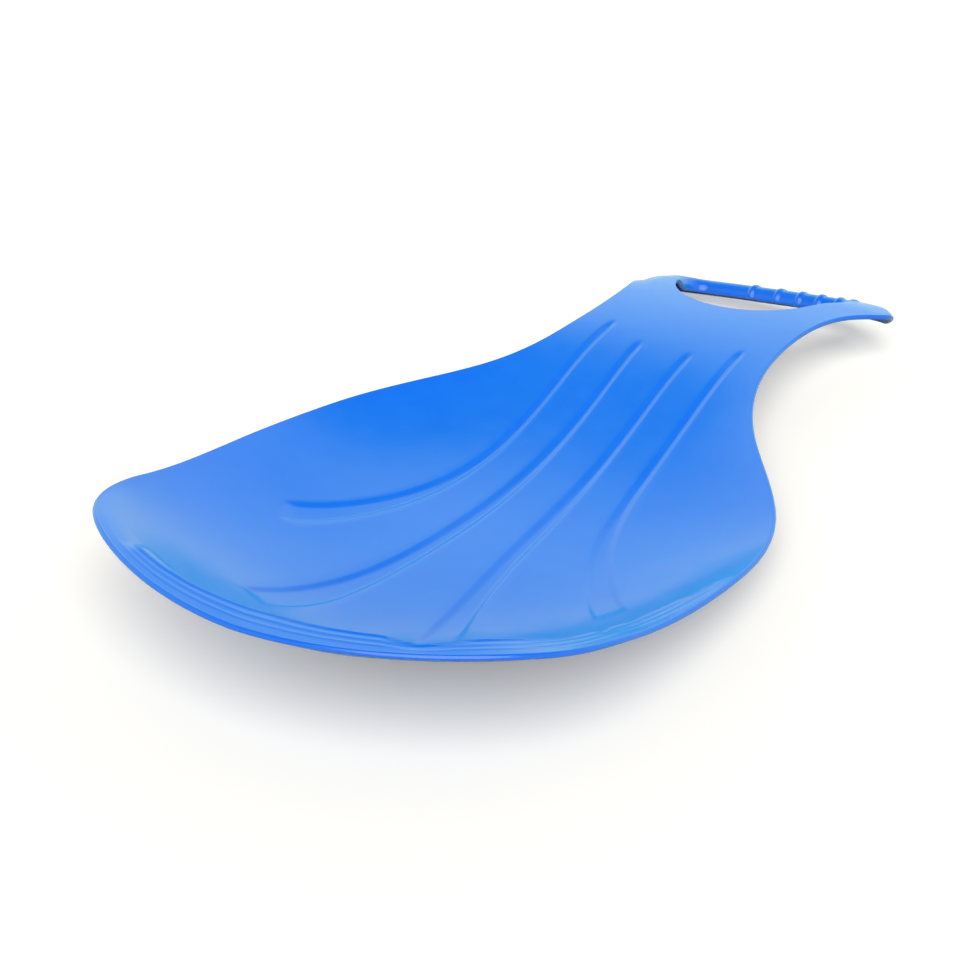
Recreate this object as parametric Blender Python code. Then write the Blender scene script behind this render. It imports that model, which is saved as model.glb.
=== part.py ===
"""Snow slider, moulded in one piece.

The slider is a single plastic sheet with a dished seat, four channels pressed into it that
stand out below as runners, a raised neck, and a hand slot behind a ringed grip bar.
The frame has +Y towards the grip, +X across and +Z up. The runners stand on Z = 0.
"""

import math

import bpy
import bmesh
import numpy as np
from mathutils import Vector

# Driving dimensions, in millimetres
MM = 0.001
WALL = 3.0
RUNNER_DEPTH = 1.4
SOLE_FLAT = 0.7

# Brim: the rear lip flattens out over its last millimetres and fades into the sides
BRIM_WIDTH = 16.0
BRIM_DROP = 5.0
BRIM_FADE_START_Y = 55.0
BRIM_FADE_END_Y = 110.0
EDGE_BAND = 7.0

# Plan outline of the sheet, half of it, from the rear lip to the grip
REAR_ARC_X = 104.5
REAR_ARC_Y = 33.0
SHOULDER_X = 139.5
SHOULDER_Y = 73.0
FLANK_X = 149.0
FLANK_Y = 125.0
SEAT_HALF_WIDTH = 153.0
SEAT_WIDEST_Y = 211.0
HIP_X = 139.0
HIP_Y = 293.0
NECK_ROOT_X = 92.5
NECK_ROOT_Y = 367.0
WAIST_HALF_WIDTH = 67.0
WAIST_Y = 444.0
FLARE_X = 78.5
FLARE_BACK = 66.0
GRIP_HALF_WIDTH = 95.5
GRIP_CORNER_RADIUS = 38.0
GRIP_BOW = 4.0
LENGTH = 606.0

# Heights of the upper surface. The floor of the seat lies on the runners, and the lines below
# give its rise above that floor, or above the ground, at each distance from the rear lip.
SEAT_FLOOR_HEIGHT = WALL + RUNNER_DEPTH - SOLE_FLAT
REAR_LIP_HEIGHT = 71.0
NECK_HEIGHT = 39.0
NECK_CREST_Y = 472.0
FLARE_DROP = 4.0
FLARE_CROWN = 1.4
GRIP_SHOULDER_BACK = 40.0
GRIP_SHOULDER_DROP = 8.4
GRIP_LINE_BACK = 18.0
GRIP_LINE_HEIGHT = 22.5
GRIP_FRONT_HEIGHT = 13.5
GRIP_CROWN = 4.0
SEAT_RISES = (
    (45.0, 33.8),
    (90.0, 11.6),
    (140.0, 2.9),
    (200.0, 0.4),
    (260.0, 0.0),
    (320.0, 5.6),
    (370.0, 17.2),
    (420.0, 30.6),
)
RIM_HEIGHTS = (
    (55.0, 73.7),
    (100.0, 58.2),
    (150.0, 44.0),
    (210.0, 33.7),
    (270.0, 27.0),
    (330.0, 28.0),
    (380.0, 31.6),
    (430.0, 37.4),
)

# Cross-sections: straight walls with a soft middle at the rear, a flat floor with upturned
# sides further on
REAR_SOFTNESS = 0.25
SEAT_FULLNESS = 3.3
FULLNESS_LENGTH = 200.0

# Lean of the grip in degrees. The neck twists on its way to the front edge, so that the right
# end of the grip stands above the left one.
GRIP_TWIST = 5.2
TWIST_START_Y = 430.0
TWIST_EASE = 1.5
TWIST_AXIS_HEIGHT = 80.0

# Pressed runners, right half: (y, x of the inner wall, x of the outer wall) from rear to front.
# The channel is pressed in from where its walls end at the rear to where they end at the front.
INNER_RUNNER = (
    (53.0, 47.0, 65.5),
    (74.5, 41.0, 62.5),
    (94.5, 33.5, 57.3),
    (150.0, 22.2, 39.7),
    (221.0, 14.7, 27.7),
    (293.0, 12.3, 23.0),
    (365.0, 12.3, 20.5),
    (437.0, 13.4, 21.2),
)
INNER_RUNNER_REAR = (73.0, 80.0)
INNER_RUNNER_FRONT = 437.0
OUTER_RUNNER = (
    (110.0, 119.0, 129.0),
    (143.0, 118.0, 132.0),
    (163.0, 100.0, 127.5),
    (183.0, 83.5, 109.0),
    (213.0, 65.5, 85.0),
    (273.0, 46.8, 58.3),
    (334.0, 41.9, 50.3),
    (394.0, 41.4, 49.4),
    (454.0, 41.1, 48.8),
)
OUTER_RUNNER_REAR = (164.0, 182.0)
OUTER_RUNNER_FRONT = 454.0
RUNNER_WALL = 3.6
RUNNER_WALL_MAX_SHARE = 0.47
RUNNER_REAR_FADE = 7.0
RUNNER_FRONT_FADE = 12.0

# Hand slot and grip bar. The bar is a downward channel along the front edge of the sheet.
SLOT_HALF_LENGTH = 57.0
SLOT_REAR_BACK = 98.0
SLOT_SQUARENESS = 2.1
SLOT_CORNER_RADIUS = 11.0
BAR_HALF_WIDTH = 9.0
BAR_DEPTH = 9.0
BAR_ROUND_DEPTH = 6.0
BAR_SQUARENESS = 2.6
BAR_WALL = 2.6
BAR_MIN_INNER_SHARE = 0.3
BAR_INNER_TAPER = 0.8
BAR_WEB = 4.2
BAR_MAX_WEB_SHARE = 0.8
BAR_MAX_ROUND_SHARE = 0.9
BAR_CREST = 0.4
BAR_EDGE_INSET = 5.0
BAR_REACH_BACK = 50.0
BAR_TIP_LENGTH = 34.0
BAR_TIP_HALF_WIDTH = 1.6
BAR_TIP_DEPTH = 2.0
BAR_TIP_CREST = -0.6
RING_XS = (-15.0, 4.0, 20.0, 34.0, 47.5, 58.0)
RING_WIDTH = 4.2
RING_PROUD = 1.1
RING_FOOT_SHARE = 0.3

# Mesh density, and where the grid lines beside the runners meet the rear and front edges
ROWS = 54
REAR_CORNER_X = 121.0
FRONT_CORNER_X = 78.0
INNER_LINES_REAR = (48.0, 64.0)
INNER_LINES_FRONT = (16.0, 26.5)
OUTER_LINES_REAR = (97.0, 109.0)
OUTER_LINES_FRONT = (51.0, 59.0)
SPLITS = (3, 3, 5)
RIM_BANDS = (0.5, 0.85, 1.0)
OUTLINE_STEPS = 40
BAR_ARC_STEPS = 8
SLOT_STEPS = 40
SLOT_CORNER_STEPS = 5
CUT_MARGIN = 40.0
REAR_LIFT_FALLOFF = 6
FRONT_LIFT_FALLOFF = 12
HARD_EDGE_ANGLE = 40.0
BAR_TIP_STATIONS = 7
BAR_PLAIN_STATIONS = 15
OUTSIDE_SHARE = 1.1

BLUE = (0.012, 0.150, 0.830, 1.0)
ROUGHNESS = 0.28


def clear_scene():
    for obj in list(bpy.data.objects):
        bpy.data.objects.remove(obj, do_unlink=True)


def blend(t):
    """Ease from 0 to 1 with flat ends."""
    t = np.clip(t, 0.0, 1.0)
    return t * t * (3.0 - 2.0 * t)


def spline(xs, ys):
    """Smooth curve y(x) through the points, with free ends."""
    xs = np.asarray(xs, float)
    ys = np.asarray(ys, float)
    count = len(xs)
    step = np.diff(xs)
    system = np.eye(count)
    right = np.zeros(ys.shape)
    for i in range(1, count - 1):
        system[i, i - 1:i + 2] = step[i - 1], 2.0 * (step[i - 1] + step[i]), step[i]
        right[i] = 6.0 * ((ys[i + 1] - ys[i]) / step[i] - (ys[i] - ys[i - 1]) / step[i - 1])
    bend = np.linalg.solve(system, right)

    def curve(x):
        i = int(np.clip(np.searchsorted(xs, x) - 1, 0, count - 2))
        t = x - xs[i]
        h = step[i]
        slope = (ys[i + 1] - ys[i]) / h - h * (2.0 * bend[i] + bend[i + 1]) / 6.0
        return ys[i] + t * slope + t * t * bend[i] / 2.0 + t ** 3 * (bend[i + 1] - bend[i]) / (6.0 * h)

    return curve


def closed_spline(points, steps):
    """Dense points of a smooth closed curve through the given ones."""
    points = np.asarray(points, float)
    count = len(points)
    chord = np.sqrt(np.linalg.norm(np.roll(points, -1, axis=0) - points, axis=1))
    system = np.zeros((count, count))
    right = np.zeros((count, 2))
    for i in range(count):
        before = chord[i - 1]
        after = chord[i]
        following = (i + 1) % count
        system[i, i - 1] += after
        system[i, i] += 2.0 * (before + after)
        system[i, following] += before
        right[i] = 3.0 * (after * (points[i] - points[i - 1]) / before
                          + before * (points[following] - points[i]) / after)
    slopes = np.linalg.solve(system, right)
    dense = []
    for i in range(count):
        following = (i + 1) % count
        for t in np.arange(steps) / steps:
            dense.append((2 * t ** 3 - 3 * t ** 2 + 1) * points[i]
                         + (t ** 3 - 2 * t ** 2 + t) * chord[i] * slopes[i]
                         + (3 * t ** 2 - 2 * t ** 3) * points[following]
                         + (t ** 3 - t ** 2) * chord[i] * slopes[following])
    return np.array(dense)


def plan_outline():
    """Plan outline of the slider, anticlockwise from the middle of the rear lip."""
    corner_y = LENGTH - GRIP_BOW - GRIP_CORNER_RADIUS
    arc = GRIP_CORNER_RADIUS * (1.0 - math.sqrt(0.5))
    half = [
        (REAR_ARC_X, REAR_ARC_Y),
        (SHOULDER_X, SHOULDER_Y),
        (FLANK_X, FLANK_Y),
        (SEAT_HALF_WIDTH, SEAT_WIDEST_Y),
        (HIP_X, HIP_Y),
        (NECK_ROOT_X, NECK_ROOT_Y),
        (WAIST_HALF_WIDTH, WAIST_Y),
        (FLARE_X, LENGTH - FLARE_BACK),
        (GRIP_HALF_WIDTH, corner_y),
        (GRIP_HALF_WIDTH - arc, LENGTH - GRIP_BOW - arc),
        (GRIP_HALF_WIDTH - GRIP_CORNER_RADIUS, LENGTH - GRIP_BOW),
    ]
    mirrored = [(-x, y) for x, y in reversed(half)]
    return closed_spline([(0.0, 0.0)] + half + [(0.0, LENGTH)] + mirrored, OUTLINE_STEPS)


def inward_normals(outline):
    run = np.roll(outline, -1, axis=0) - np.roll(outline, 1, axis=0)
    run /= np.linalg.norm(run, axis=1)[:, None]
    return np.column_stack((-run[:, 1], run[:, 0]))


class BarPath:
    """The stretch of the plan outline that the grip bar follows, from its right tip to its left."""

    def __init__(self, outline):
        self.covered = outline[:, 1] > LENGTH - BAR_REACH_BACK
        self.points = outline[self.covered]
        self.inward = inward_normals(outline)[self.covered]
        steps = np.linalg.norm(np.diff(self.points, axis=0), axis=1)
        self.place = np.concatenate(([0.0], np.cumsum(steps)))
        self.total = float(self.place[-1])

    def share(self, place):
        """Growth of the bar's section from 0 at a tip to 1 in the full bar."""
        return blend(np.minimum(place, self.total - place) / BAR_TIP_LENGTH)

    def at(self, place):
        point = np.array([np.interp(place, self.place, self.points[:, axis]) for axis in (0, 1)])
        inward = np.array([np.interp(place, self.place, self.inward[:, axis]) for axis in (0, 1)])
        return point, inward / np.linalg.norm(inward)

    def place_of_x(self, x):
        return float(np.interp(-x, -self.points[:, 0], self.place))


def rear_share(y):
    """1 along the rear lip, falling to 0 along the sides."""
    return 1.0 - blend((y - BRIM_FADE_START_Y) / (BRIM_FADE_END_Y - BRIM_FADE_START_Y))


def neck_heights(fall):
    """Heights from the neck to the front edge. The fall is 0 along the middle and 1 at the rim."""
    return (
        (NECK_CREST_Y, NECK_HEIGHT),
        (LENGTH - FLARE_BACK, NECK_HEIGHT - FLARE_DROP - FLARE_CROWN * fall),
        (LENGTH - GRIP_SHOULDER_BACK, NECK_HEIGHT - GRIP_SHOULDER_DROP - GRIP_CROWN * fall),
        (LENGTH - GRIP_LINE_BACK, GRIP_LINE_HEIGHT - GRIP_CROWN * fall),
        (LENGTH, GRIP_FRONT_HEIGHT - GRIP_CROWN * fall),
    )


def cross_section(share, y):
    """Rise of a cross-section from 0 in the middle to 1 at the rim."""
    full = math.hypot(1.0, REAR_SOFTNESS) - REAR_SOFTNESS
    straight = (math.hypot(share, REAR_SOFTNESS) - REAR_SOFTNESS) / full
    return straight + (share ** SEAT_FULLNESS - straight) * blend(y / FULLNESS_LENGTH)


class Sheet:
    """The upper surface of the sheet, as height over its plan."""

    def __init__(self):
        plan = plan_outline()
        self.bar_path = BarPath(plan)
        right = plan[:len(plan) // 2 + 1]
        widest = int(np.argmax(np.where(right[:, 1] > WAIST_Y, right[:, 0], 0.0)))
        self.side = right[:widest + 1]
        tucked = np.zeros(len(plan))
        tucked[self.bar_path.covered] = BAR_EDGE_INSET * self.bar_path.share(self.bar_path.place)
        self.outline = plan + inward_normals(plan) * tucked[:, None]
        band = EDGE_BAND + (BRIM_WIDTH - EDGE_BAND) * rear_share(plan[:, 1])
        self.inner_outline = self.outline + inward_normals(self.outline) * band[:, None]
        lip = (0.0, REAR_LIP_HEIGHT + BRIM_DROP)
        seat = [(y, SEAT_FLOOR_HEIGHT + rise) for y, rise in SEAT_RISES]
        self.middle = spline(*zip(lip, *seat, *neck_heights(0.0)))
        self.rim = spline(*zip(lip, *RIM_HEIGHTS, *neck_heights(1.0)))

    def half_width(self, y):
        return max(float(np.interp(y, self.side[:, 1], self.side[:, 0])), 1e-3)

    def height(self, x, y):
        """Height of the plain surface, before the runners and the brim."""
        middle = self.middle(y)
        share = min(abs(x) / self.half_width(y), OUTSIDE_SHARE)
        return middle + (self.rim(y) - middle) * cross_section(share, y)

    def nearest_rim(self, point):
        """The point of the outline that is nearest to a point of the plan."""
        ends = np.roll(self.outline, -1, axis=0)
        run = ends - self.outline
        share = np.einsum("ij,ij->i", point - self.outline, run) / np.einsum("ij,ij->i", run, run)
        foot = self.outline + run * np.clip(share, 0.0, 1.0)[:, None]
        return foot[int(np.argmin(np.linalg.norm(foot - point, axis=1)))]


class Border:
    """Right half of the plan curve where the grid meets the rim bands, from rear to front."""

    def __init__(self, sheet):
        self.points = sheet.inner_outline[:len(sheet.inner_outline) // 2 + 1]
        steps = np.linalg.norm(np.diff(self.points, axis=0), axis=1)
        self.length = np.concatenate(([0.0], np.cumsum(steps)))
        self.rear = self.points[self.points[:, 1] < SHOULDER_Y]
        self.front = self.points[self.points[:, 1] > self.points[-1, 1] - GRIP_CORNER_RADIUS]
        self.start = self.along(self.rear, REAR_CORNER_X)
        self.end = self.along(self.front, FRONT_CORNER_X)

    def y(self, x, at_front):
        stretch = self.front if at_front else self.rear
        order = np.argsort(stretch[:, 0])
        return float(np.interp(x, stretch[order, 0], stretch[order, 1]))

    def along(self, stretch, x):
        """Length along the curve of the place nearest to x, seen from the outer end of the stretch."""
        nearest = stretch[int(np.argmin(np.abs(stretch[:, 0] - x)))]
        return float(self.length[int(np.argmin(np.linalg.norm(self.points - nearest, axis=1)))])

    def side(self, share):
        """Point of the side stretch, by its share of the way between the corners."""
        place = self.start + share * (self.end - self.start)
        return np.array([np.interp(place, self.length, self.points[:, axis]) for axis in (0, 1)])


class Runner:
    """Grid lines along the walls of one pressed runner, from the rear border to the front one."""

    def __init__(self, stations, rear_ends, front_end, rear_xs, front_xs, border):
        self.rear_ends = rear_ends
        self.front_end = front_end
        self.walls = []
        for wall in (0, 1):
            rear = (rear_xs[wall], border.y(rear_xs[wall], False))
            front = (front_xs[wall], border.y(front_xs[wall], True))
            points = [rear] + [(row[1 + wall], row[0]) for row in stations] + [front]
            ys = [y for _, y in points]
            self.walls.append((ys[0], ys[-1], spline(ys, [x for x, _ in points])))

    def depth(self, y, across):
        """Share of the full depth at a place between the inner wall (0) and the outer wall (1)."""
        rear_end = self.rear_ends[0] + across * (self.rear_ends[1] - self.rear_ends[0])
        return float(blend((y - rear_end) / RUNNER_REAR_FADE)
                     * blend((self.front_end - y) / RUNNER_FRONT_FADE))

    def row(self, share):
        """Four points across the channel at one row of the grid, with their depth shares."""
        inner, outer = (np.array([line(y), y]) for y, line in
                        ((rear + share * (front - rear), line) for rear, front, line in self.walls))
        width = np.linalg.norm(outer - inner)
        wall = min(RUNNER_WALL / width, RUNNER_WALL_MAX_SHARE)
        points = [inner + (outer - inner) * across for across in (0.0, wall, 1.0 - wall, 1.0)]
        return points, [0.0, self.depth(points[1][1], wall), self.depth(points[2][1], 1.0 - wall), 0.0]


def half_grid(sheet):
    """Plan points and groove depth of the right half, as rows from rear to front.

    Each row runs from the middle line to the border inside the rolled rim, and has points on
    both edges of both walls of each runner.
    """
    border = Border(sheet)
    rear = border.y(0.0, False)
    front = border.y(0.0, True)
    runners = (
        Runner(INNER_RUNNER, INNER_RUNNER_REAR, INNER_RUNNER_FRONT, INNER_LINES_REAR,
               INNER_LINES_FRONT, border),
        Runner(OUTER_RUNNER, OUTER_RUNNER_REAR, OUTER_RUNNER_FRONT, OUTER_LINES_REAR,
               OUTER_LINES_FRONT, border),
    )
    rows = []
    depths = []
    shares = np.linspace(0.0, 1.0, ROWS + 1)
    splits = (SPLITS[0], 1, 1, 1, SPLITS[1], 1, 1, 1, SPLITS[2])
    for share in shares:
        keys = [np.array([0.0, rear + share * (front - rear)])]
        sunk = [0.0]
        for runner in runners:
            points, shares_down = runner.row(share)
            keys += points
            sunk += shares_down
        keys.append(border.side(share))
        sunk.append(0.0)
        row = [keys[0]]
        depth_row = [0.0]
        for i, parts in enumerate(splits):
            for t in np.arange(1, parts + 1) / parts:
                row.append(keys[i] * (1.0 - t) + keys[i + 1] * t)
                depth_row.append(sunk[i] * (1.0 - t) + sunk[i + 1] * t)
        rows.append(row)
        depths.append(depth_row)
    rows = np.array(rows)
    for column in range(rows.shape[1] - 1):
        lift_rear = border.y(rows[0, column, 0], False) - rows[0, column, 1]
        lift_front = border.y(rows[-1, column, 0], True) - rows[-1, column, 1]
        rows[:, column, 1] += lift_rear * (1.0 - shares) ** REAR_LIFT_FALLOFF
        rows[:, column, 1] += lift_front * shares ** FRONT_LIFT_FALLOFF
    return rows, np.array(depths)


def brim_drop(share, y):
    """Fall of the brim at a share of the way from its inner edge to the rim."""
    return BRIM_DROP * float(rear_share(y)) * share ** 2


def sheet_mesh(sheet):
    """Closed mesh of the sheet: upper side, lower side and edge."""
    half, depth = half_grid(sheet)
    left = half[:, :0:-1] * (-1.0, 1.0)
    plan = np.concatenate((left, half), axis=1)
    sunk = np.concatenate((depth[:, :0:-1], depth), axis=1)
    rows, columns = plan.shape[:2]
    bm = bmesh.new()
    grid = []
    for r in range(rows):
        line = []
        for c in range(columns):
            x, y = plan[r, c]
            z = sheet.height(x, y) - RUNNER_DEPTH * sunk[r, c]
            line.append(bm.verts.new((x, y, z)))
        grid.append(line)
    for r in range(rows - 1):
        for c in range(columns - 1):
            bm.faces.new((grid[r][c], grid[r][c + 1], grid[r + 1][c + 1], grid[r + 1][c]))
    border = (grid[0][:-1] + [row[-1] for row in grid[:-1]]
              + grid[-1][:0:-1] + [row[0] for row in grid[:0:-1]])
    ring = border
    for share in RIM_BANDS:
        outer = []
        for vert in border:
            start = np.array(vert.co[:2])
            point = start + share * (sheet.nearest_rim(start) - start)
            z = sheet.height(*point) - brim_drop(share, point[1])
            outer.append(bm.verts.new((point[0], point[1], z)))
        for i in range(len(ring)):
            j = (i + 1) % len(ring)
            bm.faces.new((ring[i], outer[i], outer[j], ring[j]))
        ring = outer
    bm.normal_update()
    upper = list(bm.verts)
    faces = list(bm.faces)
    twin = {}
    for vert in upper:
        lower = vert.co - vert.normal * WALL
        lower.z = max(lower.z, 0.0)
        twin[vert] = bm.verts.new(lower)
    for face in faces:
        bm.faces.new([twin[vert] for vert in reversed(face.verts)])
    for i in range(len(ring)):
        j = (i + 1) % len(ring)
        bm.faces.new((ring[i], twin[ring[i]], twin[ring[j]], ring[j]))
    return finish_mesh(bm, "slider_moulding")


def twisted(point):
    """Where a point goes when the neck and the grip are twisted about their axis."""
    share = min(max((point.y - TWIST_START_Y) / (LENGTH - TWIST_START_Y), 0.0), 1.0)
    angle = math.radians(GRIP_TWIST) * share ** TWIST_EASE
    rise = point.z - TWIST_AXIS_HEIGHT
    return Vector((point.x * math.cos(angle) - rise * math.sin(angle), point.y,
                   TWIST_AXIS_HEIGHT + point.x * math.sin(angle) + rise * math.cos(angle)))


def finish_mesh(bm, name):
    """Twist the grip, turn the faces outwards, scale to metres and hand over a mesh."""
    for vert in bm.verts:
        vert.co = twisted(vert.co)
    bmesh.ops.recalc_face_normals(bm, faces=bm.faces)
    bmesh.ops.scale(bm, vec=(MM, MM, MM), verts=bm.verts)
    mesh = bpy.data.meshes.new(name)
    bm.to_mesh(mesh)
    bm.free()
    return mesh


def slot_outline():
    """Plan of the hand slot: half a superellipse behind the bar, with rounded far corners."""
    front = LENGTH - GRIP_BOW - 2.0 * BAR_HALF_WIDTH + BAR_EDGE_INSET
    rear = LENGTH - SLOT_REAR_BACK
    shoulder = front - SLOT_CORNER_RADIUS
    points = []
    for angle in np.linspace(0.0, math.pi, SLOT_STEPS + 1):
        c = math.cos(angle)
        s = math.sin(angle)
        x = SLOT_HALF_LENGTH * math.copysign(abs(c) ** (2.0 / SLOT_SQUARENESS), c)
        y = shoulder - (shoulder - rear) * s ** (2.0 / SLOT_SQUARENESS)
        points.append((x, y))
    for side in (-1.0, 1.0):
        turns = np.linspace(0.0, 0.5 * math.pi, SLOT_CORNER_STEPS + 1)[1:]
        corner = [(side * (SLOT_HALF_LENGTH - SLOT_CORNER_RADIUS * (1.0 - math.cos(turn))),
                   shoulder + SLOT_CORNER_RADIUS * math.sin(turn)) for turn in turns]
        points += corner if side < 0.0 else corner[::-1]
    return points


def slot_cutter():
    """Upright prism that cuts the hand slot."""
    bm = bmesh.new()
    verts = [bm.verts.new((x, y, -CUT_MARGIN)) for x, y in slot_outline()]
    face = bm.faces.new(verts)
    extruded = bmesh.ops.extrude_face_region(bm, geom=[face])
    top = [item for item in extruded["geom"] if isinstance(item, bmesh.types.BMVert)]
    bmesh.ops.translate(bm, vec=(0.0, 0.0, REAR_LIP_HEIGHT + 2.0 * CUT_MARGIN), verts=top)
    return finish_mesh(bm, "slot_cutter")


def bar_stations(path):
    """Places along the bar with the swell of the rings: tips, plain stretches, ring flanks."""
    tips = np.linspace(0.0, BAR_TIP_LENGTH, BAR_TIP_STATIONS)
    places = list(tips) + list(path.total - tips)
    swells = [0.0] * len(places)
    for x in RING_XS:
        centre = path.place_of_x(x)
        for offset, swell in ((-0.5, 0.0), (-0.25, 1.0), (0.25, 1.0), (0.5, 0.0)):
            places.append(centre + offset * RING_WIDTH)
            swells.append(swell)
    ringed = [place for place, swell in zip(places, swells) if swell > 0.0]
    for place in np.linspace(BAR_TIP_LENGTH, path.total - BAR_TIP_LENGTH, BAR_PLAIN_STATIONS)[1:-1]:
        if place < min(ringed) - RING_WIDTH or place > max(ringed) + RING_WIDTH:
            places.append(float(place))
            swells.append(0.0)
    order = np.argsort(places)
    return [places[i] for i in order], [swells[i] for i in order]


def bar_section(share, swell):
    """Section of the bar, a downward channel with a rounded back: (outward, up) from its crest."""
    outer = BAR_TIP_HALF_WIDTH + (BAR_HALF_WIDTH - BAR_TIP_HALF_WIDTH) * share
    depth = BAR_TIP_DEPTH + (BAR_DEPTH - BAR_TIP_DEPTH) * share
    round_depth = min(BAR_ROUND_DEPTH, BAR_MAX_ROUND_SHARE * depth)
    roof = min(BAR_WEB, BAR_MAX_WEB_SHARE * depth)
    inner = max(outer - BAR_WALL, BAR_MIN_INNER_SHARE * outer)
    proud = RING_PROUD * swell
    outer += proud
    foot = -depth - RING_FOOT_SHARE * proud
    points = [(outer, foot)]
    for step in range(BAR_ARC_STEPS + 1):
        angle = math.pi * step / BAR_ARC_STEPS
        c = math.cos(angle)
        s = math.sin(angle)
        across = outer * math.copysign(abs(c) ** (2.0 / BAR_SQUARENESS), c)
        up = (round_depth + proud) * abs(s) ** (2.0 / BAR_SQUARENESS) - round_depth
        points.append((across, up))
    points.append((-outer, foot))
    roof_inner = BAR_INNER_TAPER * inner
    points += [(-inner, -depth), (-roof_inner, -roof), (roof_inner, -roof), (inner, -depth)]
    return points


def bar_mesh(sheet):
    """Sweep of the bar's section along the front edge, leaning with the fall of the sheet."""
    path = sheet.bar_path
    bm = bmesh.new()
    loops = []
    for place, swell in zip(*bar_stations(path)):
        point, inward = path.at(place)
        share = float(path.share(place))
        half_width = BAR_TIP_HALF_WIDTH + (BAR_HALF_WIDTH - BAR_TIP_HALF_WIDTH) * share
        crest = BAR_TIP_CREST + (BAR_CREST - BAR_TIP_CREST) * share
        centre = point + inward * (half_width - BAR_TIP_CREST * (1.0 - share))
        z = sheet.height(*centre)
        lean = math.atan2(z - sheet.height(*(centre + inward * half_width)), half_width)
        outward = Vector((-inward[0] * math.cos(lean), -inward[1] * math.cos(lean), math.sin(lean)))
        up = Vector((inward[0] * math.sin(lean), inward[1] * math.sin(lean), math.cos(lean)))
        base = Vector((centre[0], centre[1], z)) + up * crest
        loops.append([bm.verts.new(base + outward * across + up * rise)
                      for across, rise in bar_section(share, swell)])
    for near, far in zip(loops, loops[1:]):
        for i in range(len(near)):
            j = (i + 1) % len(near)
            bm.faces.new((near[i], near[j], far[j], far[i]))
    bm.faces.new(loops[0])
    bm.faces.new(list(reversed(loops[-1])))
    return finish_mesh(bm, "grip_bar")


def add_object(mesh, name, helper=False):
    obj = bpy.data.objects.new(name, mesh)
    bpy.context.scene.collection.objects.link(obj)
    if helper:
        obj.hide_render = True
        obj.display_type = "WIRE"
    return obj


def add_boolean(obj, operation, operand):
    modifier = obj.modifiers.new(operation.title(), "BOOLEAN")
    modifier.operation = operation
    modifier.object = operand
    modifier.solver = "EXACT"


def plastic():
    """Glossy blue moulded plastic."""
    material = bpy.data.materials.new("moulded_polyethylene")
    material.use_nodes = True
    shader = material.node_tree.nodes["Principled BSDF"]
    shader.inputs["Base Color"].default_value = BLUE
    shader.inputs["Roughness"].default_value = ROUGHNESS
    shader.inputs["Metallic"].default_value = 0.0
    material.diffuse_color = BLUE
    return material


def centre_on_origin(moulding):
    """Move everything so that the middle of the moulding's base lies on the origin."""
    bpy.context.view_layer.update()
    finished = moulding.evaluated_get(bpy.context.evaluated_depsgraph_get())
    corners = np.array([list(corner) for corner in finished.bound_box])
    middle = 0.5 * (corners.min(axis=0) + corners.max(axis=0))
    for obj in bpy.context.scene.objects:
        obj.location = (-middle[0], -middle[1], -corners[:, 2].min())


def build():
    clear_scene()
    sheet = Sheet()
    moulding = add_object(sheet_mesh(sheet), "slider_moulding")
    moulding.data.materials.append(plastic())
    moulding.data.shade_smooth()
    moulding.data.set_sharp_from_angle(angle=math.radians(HARD_EDGE_ANGLE))
    add_boolean(moulding, "DIFFERENCE", add_object(slot_cutter(), "slot_cutter", helper=True))
    add_boolean(moulding, "UNION", add_object(bar_mesh(sheet), "grip_bar_form", helper=True))
    centre_on_origin(moulding)


build()
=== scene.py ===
import math

import bmesh
import bpy
import numpy as np
from mathutils import Matrix, Vector


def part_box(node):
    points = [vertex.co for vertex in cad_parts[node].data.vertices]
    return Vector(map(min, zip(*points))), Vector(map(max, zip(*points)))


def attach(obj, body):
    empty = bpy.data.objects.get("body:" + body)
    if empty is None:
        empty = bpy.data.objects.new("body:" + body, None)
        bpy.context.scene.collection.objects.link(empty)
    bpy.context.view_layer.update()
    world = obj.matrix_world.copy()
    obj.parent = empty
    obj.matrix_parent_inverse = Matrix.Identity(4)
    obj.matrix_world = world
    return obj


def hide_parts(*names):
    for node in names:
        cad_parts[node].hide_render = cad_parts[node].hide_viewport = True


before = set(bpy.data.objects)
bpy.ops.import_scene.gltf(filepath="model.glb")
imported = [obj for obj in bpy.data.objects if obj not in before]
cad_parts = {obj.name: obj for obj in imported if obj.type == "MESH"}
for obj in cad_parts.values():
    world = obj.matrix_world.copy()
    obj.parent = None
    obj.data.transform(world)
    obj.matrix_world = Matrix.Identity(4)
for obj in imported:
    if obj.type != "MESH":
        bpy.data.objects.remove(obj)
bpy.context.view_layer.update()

bl_info = {
    "name": "Snow slider",
    "version": (1, 0, 0),
    "blender": (4, 5, 0),
    "location": "View3D > Sidebar > Snow slider",
    "description": "Moulded snow slider with a dished seat, pressed runners and a ringed grip bar",
    "category": "Object",
}

MM = 0.001

# Plan outline of the sheet, in millimetres from the rear lip. Half of it, from rear to front.
LENGTH = 606.0
GRIP_HALF_WIDTH = 95.5
GRIP_CORNER_RADIUS = 38.0
GRIP_BOW = 4.0
GRIP_CORNER_ARC = GRIP_CORNER_RADIUS * (1.0 - math.sqrt(0.5))
OUTLINE_HALF = (
    (104.5, 33.0), (139.5, 73.0), (149.0, 125.0), (153.0, 211.0), (139.0, 293.0), (92.5, 367.0),
    (67.0, 444.0), (78.5, 540.0),
    (GRIP_HALF_WIDTH, LENGTH - GRIP_BOW - GRIP_CORNER_RADIUS),
    (GRIP_HALF_WIDTH - GRIP_CORNER_ARC, LENGTH - GRIP_BOW - GRIP_CORNER_ARC),
    (GRIP_HALF_WIDTH - GRIP_CORNER_RADIUS, LENGTH - GRIP_BOW),
)
WAIST_Y = 444.0
SHOULDER_Y = 73.0
OUTLINE_STEPS = 40

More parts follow.
